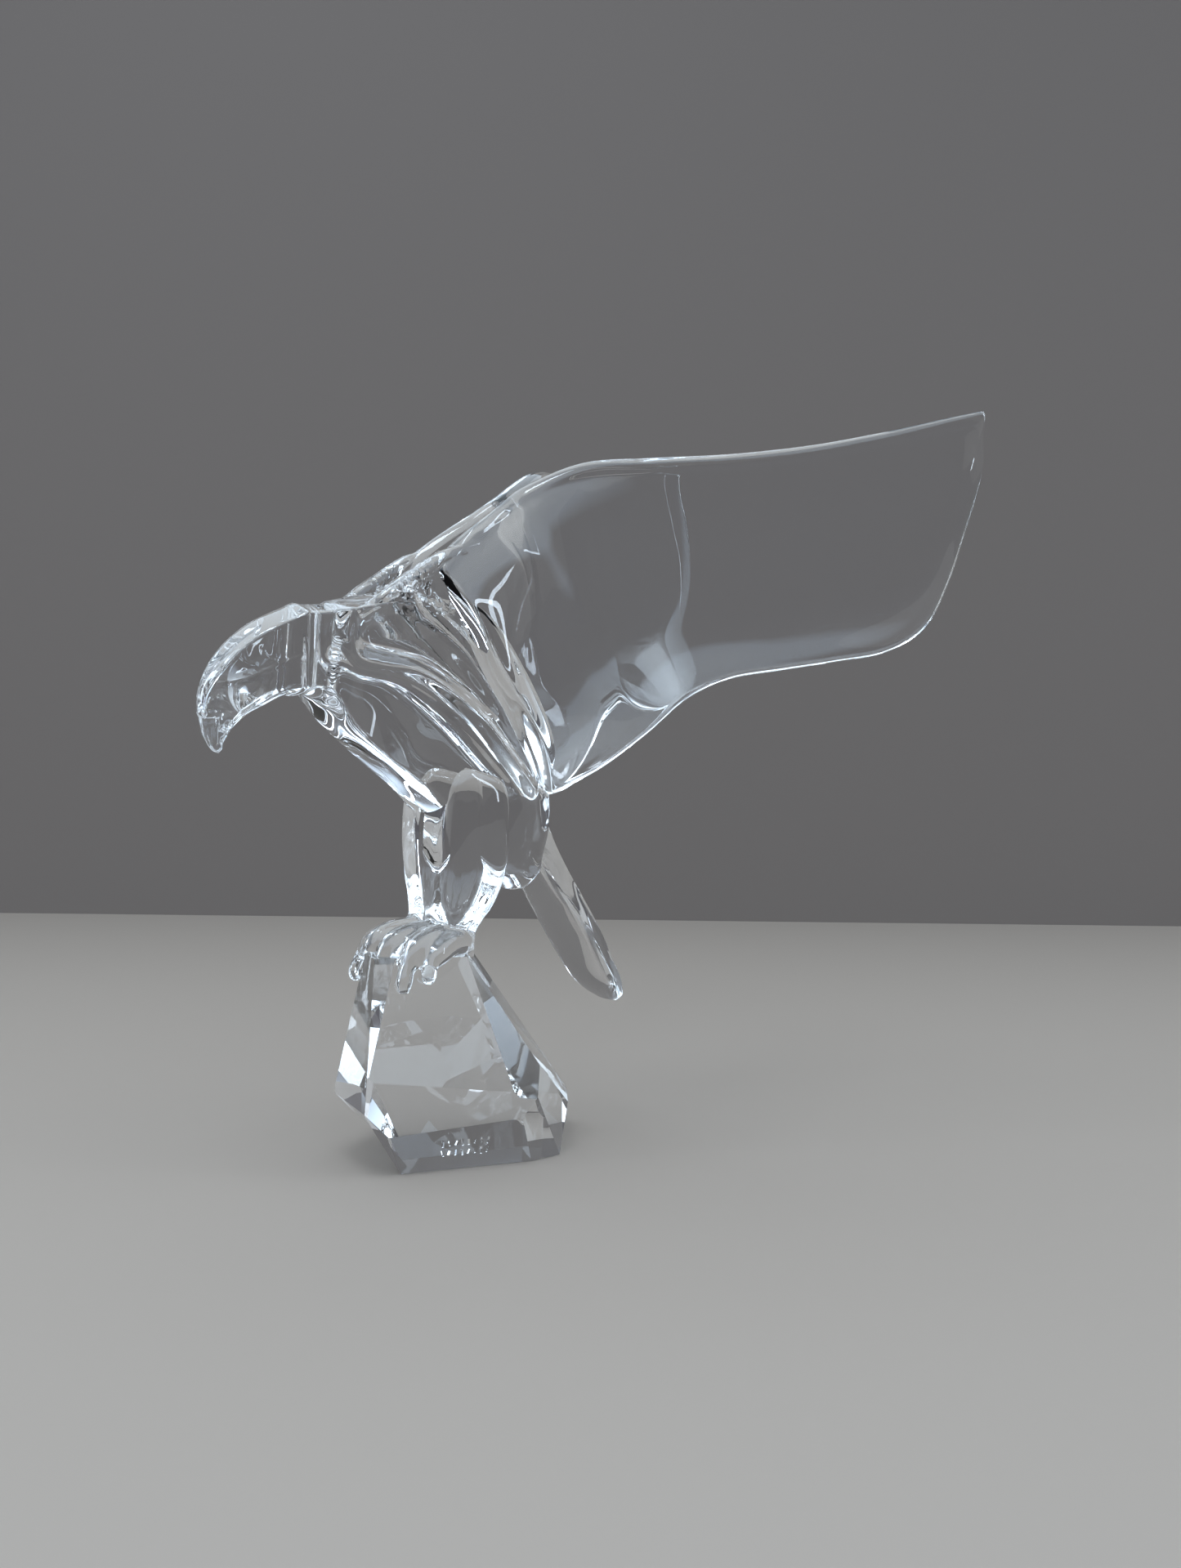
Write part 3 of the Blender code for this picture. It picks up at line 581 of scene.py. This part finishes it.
# %% Facets: azimuth and tilt in degrees, distance in millimetres
ALL_ROUND = (
    (-110.4, 10.8, 39.9),
    (-109.0, -12.5, 32.9),
    (-169.0, 11.5, 65.1),
    (167.5, 7.0, 55.5),
    (-34.2, 33.8, 39.8),
    (-39.0, -9.4, 33.5),
    (-70.0, 4.0, 38.9),
    (-90.5, -7.0, 35.8),
    (-10.0, -12.0, 39.5),
    (35.0, 24.0, 36.5),
    (35.0, -14.0, 33.0),
    (75.0, 14.0, 29.8),
    (80.0, -16.0, 22.0),
    (128.0, 16.0, 49.8),
    (130.0, -26.0, 30.8),
    (-90.0, 87.0, 76.5),
)
STONE = ALL_ROUND + ((167.6, -44.6, 21.9),)
FOOT = ALL_ROUND + ((147.3, -29.7, 23.6), (-148.0, -22.8, 45.1))
BLOCK = 400.0
print("the rock has", len(STONE), "facets, its foot", len(FOOT))


# %% Cut a block by planes
def facing(azimuth, tilt):
    """A unit direction: the azimuth's cosine and sine, each times the tilt's cosine, then the tilt's sine."""
    turn, lean = math.radians(azimuth), math.radians(tilt)
    return Vector((math.cos(turn) * math.cos(lean), math.sin(turn) * math.cos(lean), math.sin(lean)))


def cut_block(facets, name):
    """A cube on z = 0, less all that lies past each plane: point . normal > distance."""
    body = bmesh.new()
    bmesh.ops.create_cube(body, size=BLOCK * MM)
    bmesh.ops.translate(body, verts=body.verts, vec=(0.0, 0.0, BLOCK * MM / 2))
    for azimuth, tilt, distance in facets:
        normal = facing(azimuth, tilt)
        everything = body.verts[:] + body.edges[:] + body.faces[:]
        cut = bmesh.ops.bisect_plane(
            body, geom=everything, plane_co=normal * distance * MM, plane_no=normal, clear_outer=True
        )
        rim = [part for part in cut["geom_cut"] if isinstance(part, bmesh.types.BMEdge)]
        bmesh.ops.contextual_create(body, geom=rim)
    bmesh.ops.recalc_face_normals(body, faces=body.faces)
    mesh = bpy.data.meshes.new(name)
    body.to_mesh(mesh)
    body.free()
    block = bpy.data.objects.new(name, mesh)
    STAND.objects.link(block)
    return block


rock, foot = cut_block(STONE, "rock"), cut_block(FOOT, "foot")
print("cut faces", len(rock.data.polygons), "and", len(foot.data.polygons))


# %% Rows of shallow strokes
UNDERCUT = ALL_ROUND[1]
MARK_ALONG, MARK_ROWS = -12.8, (17.6, 13.8)
STROKES, STROKE_PITCH, STROKE_LONG, STROKE_WIDE = 8, 2.4, 2.8, 0.8
STROKE_VARIES, LENGTH_STEP = 0.2, 1.9
LEAN_MOST, LEAN_STEP, ROW_STEP = 0.3, 2.3, 1.7


def strokes(name):
    """Bars set on edge along the facet, each leaning by a sine of its number. Half of each one cuts in."""
    azimuth, tilt, distance = UNDERCUT
    normal = facing(azimuth, tilt)
    level = facing(azimuth + 90.0, 0.0)
    facet = Matrix((level, normal.cross(level), normal)).transposed()
    side = STROKE_WIDE / math.sqrt(2)
    bars = bmesh.new()
    for row, up in enumerate(MARK_ROWS):
        for k in range(STROKES):
            along = MARK_ALONG + (k - (STROKES - 1) / 2) * STROKE_PITCH
            length = STROKE_LONG * (1 - STROKE_VARIES + STROKE_VARIES * math.cos(LENGTH_STEP * k + row))
            leaning = Matrix.Rotation(LEAN_MOST * math.sin(LEAN_STEP * k + ROW_STEP * row), 3, "Z")
            turned = (facet @ leaning @ Matrix.Rotation(math.radians(45.0), 3, "Y")).to_4x4()
            place = Matrix.Translation(facet @ Vector((along, up, distance)) * MM)
            bar = place @ turned @ Matrix.Diagonal((side, length, side, 1.0))
            bmesh.ops.create_cube(bars, size=MM, matrix=bar)
    mesh = bpy.data.meshes.new(name)
    bars.to_mesh(mesh)
    bars.free()
    thing = bpy.data.objects.new(name, mesh)
    STAND.objects.link(thing)
    return thing


mark = strokes("strokes")
print("strokes", STROKES * len(MARK_ROWS))


# %% Facets, bevels and strokes together
EDGE_BEVEL, BEVEL_STEPS, BEVEL_FROM = 0.0012, 3, math.radians(12.0)
SMALL_FACE = 4e-5
both = rock.modifiers.new("both", "BOOLEAN")
both.operation = "UNION"
both.object = foot
crisp = rock.modifiers.new("crisp edges", "BEVEL")
crisp.width = EDGE_BEVEL
crisp.segments = BEVEL_STEPS
crisp.limit_method = "ANGLE"
crisp.angle_limit = BEVEL_FROM
etch = rock.modifiers.new("strokes", "BOOLEAN")
etch.operation = "DIFFERENCE"
etch.solver = "MANIFOLD"
etch.object = mark
rock = evaluated(rock, "rock")
bpy.data.objects.remove(foot, do_unlink=True)
bpy.data.objects.remove(mark, do_unlink=True)
areas = np.array([face.area for face in rock.data.polygons])
rock.data.polygons.foreach_set("use_smooth", areas < SMALL_FACE)
print("rock", len(rock.data.polygons), "faces")


# %% [markdown]
# ## One piece of crystal
# The eagle and its rock were poured as one casting, so every form is now joined to the body with a Boolean
# union, which drops all that lies inside. Where two skins only just touch, the union can leave a flake with
# no thickness: two faces back to back on the same points. They are found by their points and deleted. Where
# two surfaces meet at a steep angle the edge stays crisp, as on the rock, and everywhere else the shading
# runs over smoothly.

# %% Join body, blades, feet and rock
CRISP_FROM = math.radians(38.0)


def drop_flakes(mesh):
    """Deletes faces that share all their points with another face, and whatever points that leaves alone."""
    work = bmesh.new()
    work.from_mesh(mesh)
    by_points = {}
    for face in work.faces:
        by_points.setdefault(frozenset(point.index for point in face.verts), []).append(face)
    flakes = [face for faces in by_points.values() if len(faces) > 1 for face in faces]
    bmesh.ops.delete(work, geom=flakes, context="FACES")
    work.to_mesh(mesh)
    work.free()
    return len(flakes)


body = mesh_of([skin(trunk)], "body")
sides = [mesh_of([skin(shoulder)], "shoulder") for shoulder in shoulders]
plank = mesh_of([skin(tail)], "tail")
wings = [mesh_of([skin_of_blade], "wing") for skin_of_blade in blades]
pieces = (feet, *sides, plank, *wings)
for thing in (body, *pieces):
    thing.data.polygons.foreach_set("use_smooth", np.ones(len(thing.data.polygons), dtype=bool))
for other in (*pieces, rock):
    union = body.modifiers.new("with " + other.name, "BOOLEAN")
    union.operation = "UNION"
    union.solver = "MANIFOLD"
    union.object = other
eagle = evaluated(body, "eagle_in_crystal")
for other in (*pieces, rock):
    bpy.data.objects.remove(other, do_unlink=True)
print("faces in flakes", drop_flakes(eagle.data))
eagle.data.set_sharp_from_angle(angle=CRISP_FROM)
eagle.data.calc_loop_triangles()
print("eagle", len(eagle.data.loop_triangles), "triangles")


# %% [markdown]
# ## Clear crystal
# Lead crystal is colourless and bends light more than window glass, which gives it its sparkle. All its
# values are the same through and through, so they are set as plain numbers: full transmission, a mirror
# polish, and an index of refraction of 1.56.

# %% The crystal
TINT, REFRACTION = (0.985, 0.993, 1.0), 1.56


def clear_crystal():
    """See-through, colourless and polished, with the same values everywhere."""
    material = bpy.data.materials.new("clear_crystal")
    material.use_nodes = True
    shader = material.node_tree.nodes["Principled BSDF"]
    shader.inputs["Base Color"].default_value = (*TINT, 1.0)
    shader.inputs["Roughness"].default_value = 0.0
    shader.inputs["IOR"].default_value = REFRACTION
    shader.inputs["Transmission Weight"].default_value = 1.0
    return material


eagle.data.materials.clear()
eagle.data.materials.append(clear_crystal())
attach(eagle, "root")
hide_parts(NODE)
print("crystal on", eagle.name, "with refraction", REFRACTION)


# %% [markdown]
# ## Floor, backdrop and light
# Clear crystal has no colour of its own and shows only what is around it. A pale floor and a grey backdrop
# give the quiet middle tones. A pale sky from above and three long, narrow soft lights give the white lines
# along the edges.

# %% Plain stage
def plain(name, color, roughness):
    """A matt paint in one colour."""
    material = bpy.data.materials.new(name)
    material.use_nodes = True
    shader = material.node_tree.nodes["Principled BSDF"]
    shader.inputs["Base Color"].default_value = (*color, 1.0)
    shader.inputs["Roughness"].default_value = roughness
    return material


def stage_sheet(name, corners, material):
    """A flat sheet through the corners, in the given material."""
    mesh = bpy.data.meshes.new(name)
    mesh.from_pydata(corners, [], [list(range(len(corners)))])
    mesh.materials.append(material)
    sheet = bpy.data.objects.new(name, mesh)
    STAND.objects.link(sheet)
    return sheet


CAMERA_AT = Vector((-0.3227, -0.4547, 0.1630))
AHEAD = Vector((0.64111759, 0.76612034, -0.04503177)).normalized()
UP = Vector((0.0202, 0.0418, 0.9989))
RIGHT = AHEAD.cross(UP).normalized()
UP = RIGHT.cross(AHEAD).normalized()
BACK = Vector((AHEAD.x, AHEAD.y, 0.0)).normalized()
SIDE = Vector((BACK.y, -BACK.x, 0.0))
STAGE_LEFT, STAGE_RIGHT, STAGE_FRONT, STAGE_REAR = -2.5, 2.5, -0.42, 0.62
GROUND, BACKDROP_TOP = -0.0003, 0.8
FLOOR_TONE, FLOOR_ROUGH = (0.262, 0.220, 0.187), 0.7
BACKDROP_TONE, BACKDROP_ROUGH = (0.184, 0.156, 0.139), 0.8


def at(right, back, up):
    """A place given as metres to the right, behind and above the piece, as the camera sees it."""
    return SIDE * right + BACK * back + Vector((0.0, 0.0, up))


near = [at(STAGE_LEFT, STAGE_FRONT, GROUND), at(STAGE_RIGHT, STAGE_FRONT, GROUND)]
far = [at(STAGE_RIGHT, STAGE_REAR, GROUND), at(STAGE_LEFT, STAGE_REAR, GROUND)]
top = [at(STAGE_RIGHT, STAGE_REAR, BACKDROP_TOP), at(STAGE_LEFT, STAGE_REAR, BACKDROP_TOP)]
floor = stage_sheet("floor", near + far, plain("pale_floor", FLOOR_TONE, FLOOR_ROUGH))
grey = plain("grey_backdrop", BACKDROP_TONE, BACKDROP_ROUGH)
backdrop = stage_sheet("backdrop", far[::-1] + top, grey)
print("stage", floor.name, "and", backdrop.name)


# %% Soft lights
MIDDLE = Vector((0.03, 0.0, 0.15))
DAYLIGHT = (0.76, 0.88, 1.0)
LAMPS = (
    ("overhead", (-0.2, -0.2, 1.25), 0.7, 0.14, 4.0),
    ("left", (-1.1, -0.35, 0.5), 0.07, 0.8, 2.0),
    ("right", (1.2, -0.1, 0.6), 0.07, 0.8, 2.0),
)


def softbox(name, place, look_at, width, height, power):
    """A rectangular lamp at the place, turned to face a point, in cool daylight."""
    lamp = bpy.data.lights.new(name, "AREA")
    lamp.shape = "RECTANGLE"
    lamp.size, lamp.size_y = width, height
    lamp.energy = power
    lamp.color = DAYLIGHT
    thing = bpy.data.objects.new(name, lamp)
    thing.location = place
    thing.rotation_euler = (look_at - place).to_track_quat("-Z", "Y").to_euler()
    STAND.objects.link(thing)
    return thing


for name, place, width, height, power in LAMPS:
    lamp = softbox(name, at(*place), MIDDLE, width, height, power)
    print("lamp", lamp.name, "at", [round(v, 2) for v in lamp.location])


# %% A pale sky, and dark below the horizon
SKY = (
    (0.0, (0.04, 0.04, 0.045)),
    (0.44, (0.06, 0.06, 0.068)),
    (0.52, (0.52, 0.65, 0.80)),
    (0.85, (0.76, 0.89, 1.0)),
)
SKY_STRENGTH = 2.4

world = bpy.data.worlds.new("soft room")
world.use_nodes = True
bpy.context.scene.world = world
nodes, links = world.node_tree.nodes, world.node_tree.links
where = nodes.new("ShaderNodeTexCoord")
split = nodes.new("ShaderNodeSeparateXYZ")
ramp = nodes.new("ShaderNodeValToRGB")
links.new(where.outputs["Generated"], split.inputs["Vector"])
links.new(split.outputs["Z"], ramp.inputs["Fac"])
links.new(ramp.outputs["Color"], nodes["Background"].inputs["Color"])
stops = ramp.color_ramp.elements
stops.remove(stops[1])
stops[0].position, stops[0].color = SKY[0][0], (*SKY[0][1], 1.0)
for height, tone in SKY[1:]:
    stops.new(height).color = (*tone, 1.0)
nodes["Background"].inputs["Strength"].default_value = SKY_STRENGTH
print("sky tones", len(stops))


# %% [markdown]
# ## Camera
# The camera stands where the picture was taken from, a little above the middle of the piece and close to
# it. Its lens and its place come from the lines of the picture, so that the outline falls where it should.

# %% Camera
FOCAL_PIXELS = 1780.0
PICTURE_HEIGHT = 1919
SENSOR = 36.0
BOUNCES, GLOSS_BOUNCES = 24, 12
lens = bpy.data.cameras.new("camera")
lens.sensor_width = SENSOR
lens.lens = SENSOR * FOCAL_PIXELS / PICTURE_HEIGHT
camera = bpy.data.objects.new("camera", lens)
camera.matrix_world = Matrix.Translation(CAMERA_AT) @ Matrix((RIGHT, UP, -AHEAD)).transposed().to_4x4()
STAND.objects.link(camera)
bpy.context.scene.camera = camera

cycles = bpy.context.scene.cycles
cycles.max_bounces = BOUNCES
cycles.transmission_bounces = BOUNCES
cycles.glossy_bounces = GLOSS_BOUNCES
bpy.context.scene.view_settings.view_transform = "Standard"
print("lens", round(lens.lens, 1), "mm")
